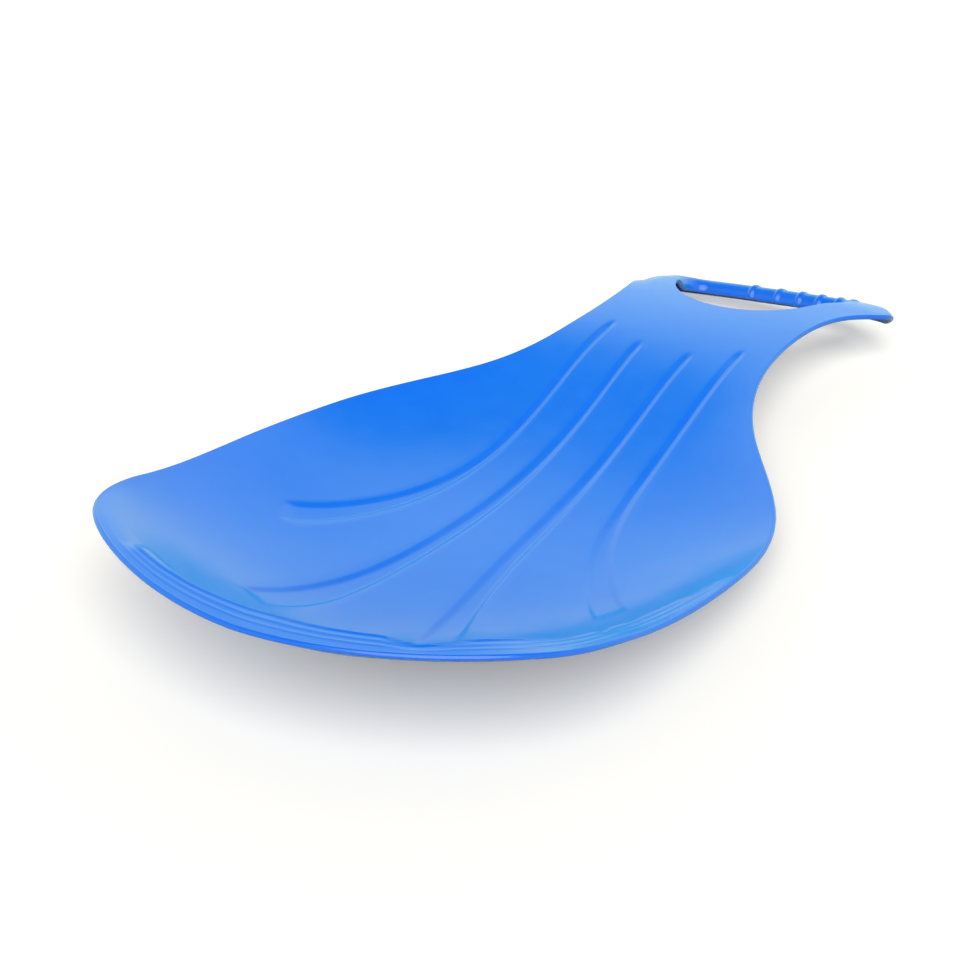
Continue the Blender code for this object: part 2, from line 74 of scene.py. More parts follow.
# Heights of the plain upper surface at distances from the rear lip, along the middle and the rim
LIP_HEIGHT = 76.0
SEAT_LINE = (
    (45.0, 37.5), (90.0, 15.3), (140.0, 6.6), (200.0, 4.1), (260.0, 3.7), (320.0, 9.3),
    (370.0, 20.9), (420.0, 34.3),
)
NECK_LINE = ((472.0, 39.0), (540.0, 35.0), (566.0, 30.6), (588.0, 22.5), (606.0, 13.5))
SEAT_RIM = (
    (55.0, 73.7), (100.0, 58.2), (150.0, 44.0), (210.0, 33.7), (270.0, 27.0), (330.0, 28.0),
    (380.0, 31.6), (430.0, 37.4),
)
NECK_RIM = ((472.0, 39.0), (540.0, 33.6), (566.0, 26.6), (588.0, 18.5), (606.0, 9.5))

# Cross-section of the sheet: straight walls at the rear lip, a full dish beyond FULLNESS_LENGTH
REAR_SOFTNESS = 0.25
SEAT_FULLNESS = 3.3
FULLNESS_LENGTH = 200.0
NARROWEST_HALF_WIDTH = 0.001
LARGEST_WIDTH_SHARE = 1.1
SLOPE_STEP = 0.5

# The neck twists on its way to the front edge
TWIST_START_Y = 430.0
TWIST_EASE = 1.5
TWIST_AXIS_HEIGHT = 80.0

# The left ear of the grip sags below the line of the neck. The sag grows off the middle, given
# as (start, length), and along the neck, given as (start, length, end, length before the end).
EAR_SAG = 8.0
EAR_SAG_X = (60.0, 36.0)
EAR_SAG_Y = (515.0, 40.0, 591.0, 28.0)

# Pressed runners: (y, x of the inner wall, x of the outer wall), and where they end. A wall is
# RUNNER_WALL wide, within WALL_SHARES of the runner's width.
INNER_RUNNER = (
    (53.0, 47.0, 65.5), (74.5, 41.0, 62.5), (94.5, 33.5, 57.3), (150.0, 22.2, 39.7),
    (221.0, 14.7, 27.7), (293.0, 12.3, 23.0), (365.0, 12.3, 20.5), (437.0, 13.4, 21.2),
)
OUTER_RUNNER = (
    (110.0, 119.0, 129.0), (143.0, 118.0, 132.0), (163.0, 100.0, 127.5), (183.0, 83.5, 109.0),
    (213.0, 65.5, 85.0), (273.0, 46.8, 58.3), (334.0, 41.9, 50.3), (394.0, 41.4, 49.4),
    (454.0, 41.1, 48.8),
)
INNER_REAR_ENDS = (73.0, 80.0)
OUTER_REAR_ENDS = (164.0, 182.0)
INNER_FRONT_END = 437.0
OUTER_FRONT_END = 454.0
RUNNER_WALL = 5.0
WALL_SHARES = (0.05, 0.5)
RUNNER_REAR_FADE = 7.0
RUNNER_FRONT_FADE = 12.0

# Rear brim. The lip droops by LIP_DROP, and the brim inside it is pressed flat. Its width is
# given at distances along the rim from the middle of the lip, positive towards the right side.
# Where it is narrower than BRIM_PRESSED_WIDTH, it is only partly pressed.
LIP_DROP = 5.0
LIP_DROP_WIDTH = 16.0
LIP_FADE = (55.0, 110.0)
BRIM_WIDTHS = (
    (-98.0, 0.0), (-89.0, 9.5), (-60.0, 11.0), (-20.0, 14.5), (10.0, 16.5), (45.0, 14.5),
    (70.0, 13.5), (91.0, 7.0), (112.0, 13.0), (150.0, 17.0), (220.0, 15.5), (264.0, 12.0),
    (300.0, 5.0), (318.0, 0.0),
)
BRIM_SIDE_START = (100.0, 170.0)
BRIM_SIDE_SLOPE = 0.25
BRIM_REAR_SLOPE = 0.04
BRIM_INNER_FALL = 16.0
BRIM_SINK_START = 3.0
BRIM_PRESSED_WIDTH = 8.0

# Fine marks of the brim: ridges along it, as (share of its width, reach, height), and puckers of
# its inner edge, as (along the rim, inside the rim, reach along, reach across, depth)
BRIM_RIDGES = ((0.36, 0.9, 0.18), (0.66, 1.1, 0.24), (0.97, 1.0, 1.0))
PUCKERS = (
    (-93.0, 7.0, 3.0, 5.0, 0.9), (88.0, 6.0, 7.0, 3.0, 0.9), (200.0, 15.0, 3.5, 4.5, 1.0),
    (226.0, 15.0, 5.5, 3.5, 0.9),
)

# Grid of the dish and neck, up to the line where the ring of faces round the hand slot starts.
# Its lines along a runner's two walls go on to the rear border and to the junction, at the x of
# INNER_LINES and OUTER_LINES. SPLITS counts the columns between lines, from the middle outwards.
JUNCTION_Y = 488.0
ROWS = 220
REAR_ROW_SHARE = 0.65
REAR_CORNER_X = 121.0
INNER_LINES = ((48.0, 64.0), (16.0, 21.0))
OUTER_LINES = ((97.0, 109.0), (43.0, 49.0))
WALL_LINE_SHARES = (0.0, 0.47)
SPLITS = (6, 5, 5, 5, 8, 5, 6, 5, 16)
BORDER = 7.0
REAR_BORDER = 20.0
RIM_STEPS = 44
RIM_STEP_EASE = 1.3
REAR_LIFT_FALLOFF = 6

# Hand slot, and the grip bar between it and the front edge
SLOT_HALF_LENGTH = 57.0
SLOT_REAR_Y = 508.0
SLOT_SHOULDER_Y = 578.0
SLOT_CORNER_RADIUS = 11.0
SLOT_SQUARENESS = 2.1
SLOT_STEPS = 90
SLOT_CORNER_STEPS = 14
SLOT_NEAR_X = 30.0
SLOT_TURN = (548.0, 30.0)
FRONT_TURN = (558.0, 30.0)
BACK_RADIUS = 7.0
FRONT_RADIUS = 5.0
TURN_SHARES = (0.0, 0.035, 0.13, 0.29, 0.5, 0.74, 1.0)
RING_XS = (-15.0, 4.0, 20.0, 34.0, 47.5, 58.0)
RING_STRIP = (24.0, 4.0)
RING_BLUNTNESS = 0.7
RINGED_STRETCH = (-19.0, 62.0)
RINGED_STEP = 0.55
PLAIN_STEP = 2.0
FRONT_CORNER_GAP = 1.0
SIDE_STEPS = 56
MIDDLE_STEPS = 9
STRAIGHT_HALF = 40.0
EDGE_STEPS = 7
EDGE_SQUARENESS = 0.8

# Points looked up together on a plan curve, to save memory
POINTS_AT_ONCE = 2000

# Camera of the photograph: angles, focal length and picture in pixels, and place in metres
CAMERA_AZIMUTH = 0.54965
CAMERA_FALL = 0.500342
CAMERA_ROLL = 0.001462
FOCAL_PIXELS = 1967.474
PICTURE_PIXELS = 970.0
PICTURE_MIDDLE = (0.4728, 1.5487)
CAMERA_PLACE = (0.488392, -0.879088, 0.551318)
SENSOR_WIDTH = 36.0
NEAR_CLIP = 0.01


def blend(t):
    """Ease from 0 to 1 with flat ends."""
    t = np.clip(t, 0.0, 1.0)
    return t * t * (3.0 - 2.0 * t)


def spline(xs, ys):
    """Smooth curve y(x) through the points, with free ends, for arrays of x."""
    xs = np.asarray(xs, float)
    ys = np.asarray(ys, float)
    step = np.diff(xs)
    system = np.eye(len(xs))
    right = np.zeros(len(xs))
    for i in range(1, len(xs) - 1):
        system[i, i - 1:i + 2] = step[i - 1], 2.0 * (step[i - 1] + step[i]), step[i]
        right[i] = 6.0 * ((ys[i + 1] - ys[i]) / step[i] - (ys[i] - ys[i - 1]) / step[i - 1])
    bend = np.linalg.solve(system, right)

    def curve(x):
        x = np.asarray(x, float)
        i = np.clip(np.searchsorted(xs, x) - 1, 0, len(xs) - 2)
        t = x - xs[i]
        h = step[i]
        slope = (ys[i + 1] - ys[i]) / h - h * (2.0 * bend[i] + bend[i + 1]) / 6.0
        return ys[i] + t * slope + t * t * bend[i] / 2.0 + t ** 3 * (bend[i + 1] - bend[i]) / (6.0 * h)

    return curve


def closed_spline(points, steps):
    """Dense points of a smooth closed curve through the given ones."""
    points = np.asarray(points, float)
    count = len(points)
    chord = np.sqrt(np.linalg.norm(np.roll(points, -1, axis=0) - points, axis=1))
    system = np.zeros((count, count))
    right = np.zeros((count, 2))
    for i in range(count):
        before = chord[i - 1]
        after = chord[i]
        following = (i + 1) % count
        system[i, i - 1] += after
        system[i, i] += 2.0 * (before + after)
        system[i, following] += before
        right[i] = 3.0 * (after * (points[i] - points[i - 1]) / before
                          + before * (points[following] - points[i]) / after)
    slopes = np.linalg.solve(system, right)
    t = (np.arange(steps) / steps)[:, None]
    dense = []
    for i in range(count):
        following = (i + 1) % count
        dense.append((2 * t ** 3 - 3 * t ** 2 + 1) * points[i]
                     + (t ** 3 - 2 * t ** 2 + t) * chord[i] * slopes[i]
                     + (3 * t ** 2 - 2 * t ** 3) * points[following]
                     + (t ** 3 - t ** 2) * chord[i] * slopes[following])
    return np.concatenate(dense)


def inward_normals(loop):
    """Unit normals of a closed plan curve, pointing inside an anticlockwise one."""
    run = np.roll(loop, -1, axis=0) - np.roll(loop, 1, axis=0)
    run /= np.linalg.norm(run, axis=1)[:, None]
    return np.column_stack((-run[:, 1], run[:, 0]))


def polyline_length(points):
    """Length along an open polyline at each of its points."""
    return np.concatenate(([0.0], np.cumsum(np.linalg.norm(np.diff(points, axis=0), axis=1))))


def resample(points, shares):
    """Points of a polyline at the given shares of its length."""
    length = polyline_length(points)
    places = np.asarray(shares) * length[-1]
    return np.column_stack([np.interp(places, length, points[:, axis]) for axis in (0, 1)])


def nearest_on(loop, points):
    """Nearest points of a closed polyline: their segment, the share along it and the distance."""
    run = np.roll(loop, -1, axis=0) - loop
    square = np.einsum("ij,ij->i", run, run)
    segment = np.empty(len(points), int)
    share = np.empty(len(points))
    distance = np.empty(len(points))
    for start in range(0, len(points), POINTS_AT_ONCE):
        part = points[start:start + POINTS_AT_ONCE, None, :] - loop[None]
        t = np.clip(np.einsum("pij,ij->pi", part, run) / square, 0.0, 1.0)
        reach = np.linalg.norm(part - run * t[..., None], axis=2)
        best = np.argmin(reach, axis=1)
        rows = np.arange(len(best))
        stop = start + len(best)
        segment[start:stop] = best
        share[start:stop] = t[rows, best]
        distance[start:stop] = reach[rows, best]
    return segment, share, distance


class SliderSurface:
    """Upper surface of the slider, as height over its plan."""

    def __init__(self, sizes):
        self.sizes = sizes
        left = [(-x, y) for x, y in reversed(OUTLINE_HALF)]
        self.plan = closed_spline([(0.0, 0.0), *OUTLINE_HALF, (0.0, LENGTH), *left], OUTLINE_STEPS)
        right = self.plan[:len(self.plan) // 2 + 1]
        widest = int(np.argmax(np.where(right[:, 1] > WAIST_Y, right[:, 0], 0.0)))
        self.side = right[:widest + 1]
        self.middle = spline(*zip((0.0, LIP_HEIGHT), *SEAT_LINE, *NECK_LINE))
        self.rim = spline(*zip((0.0, LIP_HEIGHT), *SEAT_RIM, *NECK_RIM))
        self.walls = [
            [spline([row[0] for row in runner], [row[wall] for row in runner]) for wall in (1, 2)]
            for runner in (INNER_RUNNER, OUTER_RUNNER)
        ]
        edge = sizes.edge_round + sizes.edge_land
        self.edge_loop = self.plan + inward_normals(self.plan) * edge / MM
        closed = np.vstack((self.edge_loop, self.edge_loop[:1]))
        self.loop_length = polyline_length(closed)
        self.loop_height = self.plain(closed[:, 0], closed[:, 1]) - LIP_DROP * self.lip_share(closed[:, 1])

    def lip_share(self, y):
        """1 along the rear lip, falling to 0 along the sides."""
        return 1.0 - blend((y - LIP_FADE[0]) / (LIP_FADE[1] - LIP_FADE[0]))

    def plain(self, x, y):
        """Height before the runners and the brim."""
        half_width = np.maximum(np.interp(y, self.side[:, 1], self.side[:, 0]), NARROWEST_HALF_WIDTH)
        share = np.minimum(np.abs(x) / half_width, LARGEST_WIDTH_SHARE)
        full = math.hypot(1.0, REAR_SOFTNESS) - REAR_SOFTNESS
        straight = (np.hypot(share, REAR_SOFTNESS) - REAR_SOFTNESS) / full
        section = straight + (share ** SEAT_FULLNESS - straight) * blend(y / FULLNESS_LENGTH)
        middle = self.middle(y)
        return middle + (self.rim(y) - middle) * section

    def runner_depth(self, x, y):
        """Depth of the pressed channels."""
        depth = np.zeros(np.shape(x))
        ends = ((INNER_REAR_ENDS, INNER_FRONT_END), (OUTER_REAR_ENDS, OUTER_FRONT_END))
        for (inner, outer), (rear_ends, front_end) in zip(self.walls, ends):
            x_inner = inner(y)
            width = outer(y) - x_inner
            across = (np.abs(x) - x_inner) / width
            wall = np.clip(RUNNER_WALL / width, *WALL_SHARES)
            shape = blend(across / wall) * blend((1.0 - across) / wall)
            rear_end = rear_ends[0] + np.clip(across, 0.0, 1.0) * (rear_ends[1] - rear_ends[0])
            fade = blend((y - rear_end) / RUNNER_REAR_FADE) * blend((front_end - y) / RUNNER_FRONT_FADE)
            depth = np.maximum(depth, shape * fade)
        return depth * self.sizes.runner_depth / MM

    def rim_place(self, points):
        """Length along the rim from the middle of the lip, and distance inside the rim."""
        segment, share, inward = nearest_on(self.edge_loop, points)
        start = self.loop_length[segment]
        along = start + share * (self.loop_length[segment + 1] - start)
        total = self.loop_length[-1]
        return np.where(along > 0.5 * total, along - total, along), inward

    def brim_share(self, along, inward):
        """Width of the brim, and the share of it in the surface, at places along the rim."""
        places, widths = zip(*BRIM_WIDTHS)
        width = np.interp(along, places, widths) * self.sizes.brim_width_scale
        share = 1.0 - blend((inward - width + BRIM_SINK_START) / BRIM_INNER_FALL)
        return width, share * blend(width / BRIM_PRESSED_WIDTH)

    def brim(self, points, plain):
        """Height with the lip's droop and the flat brim, from the plain height."""
        along, inward = self.rim_place(points)
        droop = LIP_DROP * self.lip_share(points[:, 1])
        fallen = plain - droop * np.clip(1.0 - inward / LIP_DROP_WIDTH, 0.0, 1.0) ** 2
        turned = blend((along - BRIM_SIDE_START[0]) / (BRIM_SIDE_START[1] - BRIM_SIDE_START[0]))
        slope = BRIM_REAR_SLOPE + (BRIM_SIDE_SLOPE - BRIM_REAR_SLOPE) * turned
        rim = np.interp(np.mod(along, self.loop_length[-1]), self.loop_length, self.loop_height)
        return fallen + (rim - slope * inward - fallen) * self.brim_share(along, inward)[1]

    def brim_marks(self, along, inward):
        """Lift of the ridges and puckers on the brim's upper side."""
        width, share = self.brim_share(along, inward)
        lift = np.zeros(len(along))
        for place, reach, height in BRIM_RIDGES:
            lift += height * share * np.exp(-((inward - place * width) / reach) ** 2)
        for place, inside, reach_along, reach_across, depth in PUCKERS:
            lift -= depth * np.exp(-((along - place) / reach_along) ** 2
                                   - ((inward - inside) / reach_across) ** 2)
        return lift

    def upper(self, points):
        """Height of the finished upper surface of the dish and neck."""
        x, y = points[:, 0], points[:, 1]
        return self.brim(points, self.plain(x, y)) - self.runner_depth(x, y)

    def normal(self, x, y):
        """Unit normals of the plain surface."""
        step = SLOPE_STEP
        dx = (self.plain(x + step, y) - self.plain(x - step, y)) / (2.0 * step)
        dy = (self.plain(x, y + step) - self.plain(x, y - step)) / (2.0 * step)
        normal = np.stack((-dx, -dy, np.ones(np.shape(dx))), axis=-1)
        return normal / np.linalg.norm(normal, axis=-1)[..., None]

    def twisted(self, points):
        """Where points go when the neck and the grip are twisted about their axis."""
        share = np.clip((points[:, 1] - TWIST_START_Y) / (LENGTH - TWIST_START_Y), 0.0, 1.0)
        angle = self.sizes.grip_twist * share ** TWIST_EASE
        start, ease, stop, fade = EAR_SAG_Y
        sag = blend((-points[:, 0] - EAR_SAG_X[0]) / EAR_SAG_X[1])
        sag *= blend((points[:, 1] - start) / ease) * blend((stop - points[:, 1]) / fade)
        rise = points[:, 2] - EAR_SAG * sag - TWIST_AXIS_HEIGHT
        return np.column_stack((
            points[:, 0] * np.cos(angle) - rise * np.sin(angle),
            points[:, 1],
            TWIST_AXIS_HEIGHT + points[:, 0] * np.sin(angle) + rise * np.cos(angle),
        ))


def quad_strip(near, far, closed=False):
    """Quads between two rows of point numbers."""
    near = np.asarray(near)
    far = np.asarray(far)
    if closed:
        near = np.append(near, near[0])
        far = np.append(far, far[0])
    return np.column_stack((near[:-1], near[1:], far[1:], far[:-1]))


class MeshBuilder:
    """Collects the points and faces of the moulding."""

    def __init__(self):
        self.points = []
        self.faces = []
        self.count = 0

    def add_points(self, points):
        """Add points and give their numbers."""
        points = np.asarray(points, float).reshape(-1, 3)
        self.points.append(points)
        start = self.count
        self.count += len(points)
        return np.arange(start, self.count)

    def add_strip(self, near, far, closed=False):
        """Add the quads between two rows of point numbers."""
        self.faces.append(quad_strip(near, far, closed))

    def arrays(self):
        """All points and all faces so far."""
        return np.concatenate(self.points), np.concatenate(self.faces)


def dish_plan(surface):
    """Plan points of the right half of the dish and neck, rows from the rear to the junction."""
    loop = surface.edge_loop
    border = BORDER + (REAR_BORDER - BORDER) * surface.lip_share(loop[:, 1])
    inner = (loop + inward_normals(loop) * border[:, None])[:len(loop) // 2 + 1]
    rear = inner[inner[:, 1] < SHOULDER_Y]
    start = int(np.argmin(np.abs(rear[:, 0] - REAR_CORNER_X)))
    stop = int(np.argmax(inner[:, 1] > JUNCTION_Y))
    share = (JUNCTION_Y - inner[stop - 1, 1]) / (inner[stop, 1] - inner[stop - 1, 1])
    last = inner[stop - 1] + share * (inner[stop] - inner[stop - 1])
    steps = np.linspace(0.0, 1.0, ROWS + 1)
    shares = REAR_ROW_SHARE * steps + (1.0 - REAR_ROW_SHARE) * steps ** 2
    rear_y = float(np.interp(0.0, rear[:, 0], rear[:, 1]))
    keys = [np.column_stack((np.zeros(ROWS + 1), rear_y + shares * (JUNCTION_Y - rear_y)))]
    for runner, (rear_xs, front_xs) in ((INNER_RUNNER, INNER_LINES), (OUTER_RUNNER, OUTER_LINES)):
        walls = []
        for wall in (0, 1):
            rear_y = float(np.interp(rear_xs[wall], rear[:, 0], rear[:, 1]))
            ys = [rear_y, *(row[0] for row in runner), JUNCTION_Y]
            xs = [rear_xs[wall], *(row[1 + wall] for row in runner), front_xs[wall]]
            y = rear_y + shares * (JUNCTION_Y - rear_y)
            walls.append(np.column_stack((spline(ys, xs)(y), y)))
        width = np.linalg.norm(walls[1] - walls[0], axis=1)
        wall = np.clip(RUNNER_WALL / width, *WALL_LINE_SHARES)[:, None]
        keys += [walls[0], walls[0] + (walls[1] - walls[0]) * wall,
                 walls[1] - (walls[1] - walls[0]) * wall, walls[1]]
    keys.append(resample(np.vstack((inner[start:stop], last)), shares))
    columns = [keys[0]]
    for i, parts in enumerate(SPLITS):
        for t in np.arange(1, parts + 1) / parts:
            columns.append(keys[i] * (1.0 - t) + keys[i + 1] * t)
    rows = np.stack(columns, axis=1)
    for column in range(rows.shape[1] - 1):
        lift = np.interp(rows[0, column, 0], rear[:, 0], rear[:, 1]) - rows[0, column, 1]
        rows[:, column, 1] += lift * (1.0 - shares) ** REAR_LIFT_FALLOFF
    return rows


def add_dish(surface, builder):
    """Dish and neck with their rim bands. Gives the rows of the rim bands and of the junction."""
    half = dish_plan(surface)
    plan = np.concatenate((half[:, :0:-1] * (-1.0, 1.0), half), axis=1)
    rows, columns = plan.shape[:2]
    flat = plan.reshape(-1, 2)
    grid = builder.add_points(np.column_stack((flat, surface.upper(flat)))).reshape(rows, columns)
    for near, far in zip(grid, grid[1:]):
        builder.add_strip(near, far)

    border = np.concatenate((grid[::-1, 0], grid[0, 1:-1], grid[:, -1]))
    starts = np.concatenate((plan[::-1, 0], plan[0, 1:-1], plan[:, -1]))
    loop = surface.edge_loop
    segment, share, _ = nearest_on(loop, starts)
    feet = loop[segment] + (np.roll(loop, -1, axis=0) - loop)[segment] * share[:, None]
    for end in (0, -1):
        line = loop[(loop[:, 1] > WAIST_Y) & (loop[:, 0] * starts[end, 0] > 0.0)]
        order = np.argsort(line[:, 1])
        feet[end] = (np.interp(JUNCTION_Y, line[order, 1], line[order, 0]), JUNCTION_Y)
    bands = [border]
    for share in 1.0 - (1.0 - np.arange(1, RIM_STEPS + 1) / RIM_STEPS) ** RIM_STEP_EASE:
        point = starts + (feet - starts) * share
        bands.append(builder.add_points(np.column_stack((point, surface.upper(point)))))
    for near, far in zip(bands, bands[1:]):
        builder.add_strip(far, near)
    left_end = [band[0] for band in bands[:0:-1]]
    right_end = [band[-1] for band in bands[1:]]
    return bands[-1], np.concatenate((left_end, grid[-1], right_end)).astype(int)


def slot_loop():
    """Plan of the hand slot, anticlockwise from the middle of its rear edge."""
    power = 2.0 / SLOT_SQUARENESS
    angle = np.linspace(0.5 * math.pi, 0.0, SLOT_STEPS)
    depth = SLOT_SHOULDER_Y - SLOT_REAR_Y
    near = np.column_stack((SLOT_HALF_LENGTH * np.cos(angle).clip(0.0) ** power,
                            SLOT_SHOULDER_Y - depth * np.sin(angle) ** power))
    turn = np.linspace(0.0, 0.5 * math.pi, SLOT_CORNER_STEPS + 1)[1:]
    corner = np.column_stack((SLOT_HALF_LENGTH - SLOT_CORNER_RADIUS * (1.0 - np.cos(turn)),
                              SLOT_SHOULDER_Y + SLOT_CORNER_RADIUS * np.sin(turn)))
    far_x = np.linspace(corner[-1, 0], 0.0, SLOT_STEPS)[1:]
    far = np.column_stack((far_x, np.full(len(far_x), SLOT_SHOULDER_Y + SLOT_CORNER_RADIUS)))
    right = np.vstack((near, corner, far))
    return np.vstack((right, right[-2:0:-1] * (-1.0, 1.0)))


def rim_round_grip(surface, junction):
    """Rim from the right end of the junction round the front to its left end, in three parts."""
    half = surface.edge_loop[:len(surface.edge_loop) // 2 + 1]
    right = np.vstack((junction[-1], half[half[:, 1] > JUNCTION_Y]))
    corner = int(np.argmax(right.sum(axis=1)))
    side = resample(right[:corner + 1], np.linspace(0.0, 1.0, SIDE_STEPS + 1))
    reach = side[-1, 0]
    start, stop = RINGED_STRETCH
    across = np.concatenate((np.arange(FRONT_CORNER_GAP - reach, start, PLAIN_STEP),
                             np.arange(start, stop, RINGED_STEP),
                             np.arange(stop, reach - FRONT_CORNER_GAP, PLAIN_STEP)))[::-1]
    line = right[corner:][::-1]
    front = np.column_stack((across, np.interp(np.abs(across), line[:, 0], line[:, 1])))
    return side, front, side[::-1] * (-1.0, 1.0)


def slot_edge(slot, side, front, junction):
    """Points of the slot's edge that face those of the rim round the grip and the junction."""
    half = slot[:len(slot) // 2 + 1]
    near = int(np.argmax(half[:, 0] > SLOT_NEAR_X))
    turn = int(np.argmax(half[:, 1] > SLOT_SHOULDER_Y))
    slot_side = resample(half[near:turn + 1], np.linspace(0.0, 1.0, SIDE_STEPS + 1))
    far = half[turn:]
    far_line = np.vstack((far, far[-2::-1] * (-1.0, 1.0)))
    length = polyline_length(far_line)
    bend = float(np.interp(-STRAIGHT_HALF, -far[:, 0], length[:len(far)]))
    x = front[:, 0]
    reach = side[-1, 0]
    outer = bend * (reach - np.abs(x)) / (reach - STRAIGHT_HALF)
    place = np.where(x > 0.0, outer, length[-1] - outer)
    straight = 0.5 * length[-1] - x / STRAIGHT_HALF * (0.5 * length[-1] - bend)
    place = np.where(np.abs(x) <= STRAIGHT_HALF, straight, place)
    slot_front = np.column_stack([np.interp(place, length, far_line[:, axis]) for axis in (0, 1)])
    near_line = half[:near + 1]
    near_loop = np.vstack((near_line[::-1] * (-1.0, 1.0), near_line[1:]))
    near_x = junction[1:-1, 0] / junction[-1, 0] * near_loop[-1, 0]
    slot_near = np.column_stack((near_x, np.interp(near_x, near_loop[:, 0], near_loop[:, 1])))
    return np.vstack((slot_side, slot_front, slot_side[::-1] * (-1.0, 1.0), slot_near))


def turn_share(points, turn):
    """Share by which an edge turns down: none behind the turn's start, full beyond its length."""
    return blend((points[:, 1] - turn[0]) / turn[1])


def turn_drop(radius, inward, share):
    """Fall below the plain surface of a turned-down edge, at a distance inside that edge."""
    reach = np.clip(radius * np.sin(0.5 * math.pi * share) - inward, 0.0, None) / radius
    return radius * (1.0 - np.sqrt(np.clip(1.0 - reach ** 2, 0.0, 1.0)))


def add_grip(surface, builder, junction_ids):
    """Faces round the hand slot. Gives the slot's edge and the rim round the grip."""
    junction = np.concatenate(builder.points)[junction_ids][:, :2]
    slot = slot_loop()
    side, front, left = rim_round_grip(surface, junction)
    outer = np.vstack((side, front, left, junction[1:-1]))
    inner = slot_edge(slot, side, front, junction)
    rim_count = len(side) + len(front) + len(left)

    reach = np.linalg.norm(outer - inner, axis=1)[:, None]
    shares = np.array(TURN_SHARES)[None]
    from_inner = shares * BACK_RADIUS / reach
    from_outer = 1.0 - shares[:, ::-1] * FRONT_RADIUS / reach
    t = (np.arange(1, MIDDLE_STEPS) / MIDDLE_STEPS)[None]
    between = from_inner[:, -1:] + (from_outer[:, :1] - from_inner[:, -1:]) * t
    shares = np.hstack((from_inner, between, from_outer))
    points = inner[:, None, :] + (outer - inner)[:, None, :] * shares[..., None]
    places, steps = points.shape[:2]
    flat = points.reshape(-1, 2)

    slot_share = turn_share(np.repeat(inner, steps, axis=0), SLOT_TURN)
    rim_share = turn_share(np.repeat(outer, steps, axis=0), FRONT_TURN)
    rim_share = np.where(np.repeat(np.arange(places) < rim_count, steps), rim_share, 0.0)
    drop = turn_drop(BACK_RADIUS, nearest_on(slot, flat)[2], slot_share)
    drop += turn_drop(FRONT_RADIUS, nearest_on(surface.edge_loop, flat)[2], rim_share)
    base = np.column_stack((flat, surface.plain(flat[:, 0], flat[:, 1])))
    base -= surface.normal(flat[:, 0], flat[:, 1]) * drop[:, None]
    base = base.reshape(places, steps, 3)

    fresh = np.ones((places, steps), bool)
    fresh[rim_count - 1:, -1] = False
    fresh[0, -1] = False
    ring = np.empty((places, steps), int)
    ring[fresh] = builder.add_points(base[fresh])
    ring[rim_count:, -1] = junction_ids[1:-1]
    ring[0, -1] = junction_ids[-1]
    ring[rim_count - 1, -1] = junction_ids[0]
    for step in range(steps - 1):
        builder.add_strip(ring[:, step + 1], ring[:, step], closed=True)
    return ring[:, 0], ring[:rim_count - 1, -1]


def add_edge(surface, builder, ids, facing, turn, radius):
    """Turned-down leg and land along an edge. Gives its last row and the way that it points."""
    sizes = surface.sizes
    points = np.concatenate(builder.points)[ids]
    flat = points[:, :2]
    share = turn_share(flat, turn)[:, None]
    normal = surface.normal(flat[:, 0], flat[:, 1])
    across = inward_normals(flat) * facing
    outward = np.column_stack((across, np.zeros(len(across))))
    outward -= normal * np.einsum("ij,ij->i", outward, normal)[:, None]
    outward /= np.linalg.norm(outward, axis=1)[:, None]
    angle = 0.5 * math.pi * share
    direction = outward * np.cos(angle) - normal * np.sin(angle)
    land = sizes.edge_land / MM
    leg = max(sizes.bar_depth / MM - radius - land, 0.0)
    rows = [ids]
    for part in (0.5, 1.0):
        rows.append(builder.add_points(points + direction * (land + leg * share) * part))
    for near, far in zip(rows, rows[1:]):
        if facing < 0.0:
            near, far = far, near
        builder.add_strip(near, far, closed=True)
    return rows[-1], direction


def point_normals(points, faces):
    """Unit normals at the points, as means of those of the quads that meet there, by area."""
    first, second, third, fourth = (points[faces[:, corner]] for corner in range(4))
    cross = np.cross(third - first, fourth - second)
    normals = np.zeros_like(points)
    for corner in range(4):
        np.add.at(normals, faces[:, corner], cross)
    return normals / np.linalg.norm(normals, axis=1)[:, None]


def ring_swell(surface, upper, normals):
    """Points of the upper side with the rings raised on the outer faces of the grip bar."""
    sizes = surface.sizes
    front = surface.plan[surface.plan[:, 1] > LENGTH - GRIP_CORNER_RADIUS]
    order = np.argsort(np.abs(front[:, 0]))
    front_y = np.interp(np.abs(upper[:, 0]), np.abs(front[order, 0]), front[order, 1])
    strip = blend((upper[:, 1] - front_y + RING_STRIP[0]) / RING_STRIP[1])
    swell = np.zeros(len(upper))
    for x in RING_XS:
        reach = (upper[:, 0] - x) * MM / (0.5 * sizes.ring_width)
        swell = np.maximum(swell, np.clip(1.0 - reach * reach, 0.0, 1.0) ** RING_BLUNTNESS)
    return upper + normals * (swell * strip * sizes.ring_height / MM)[:, None]


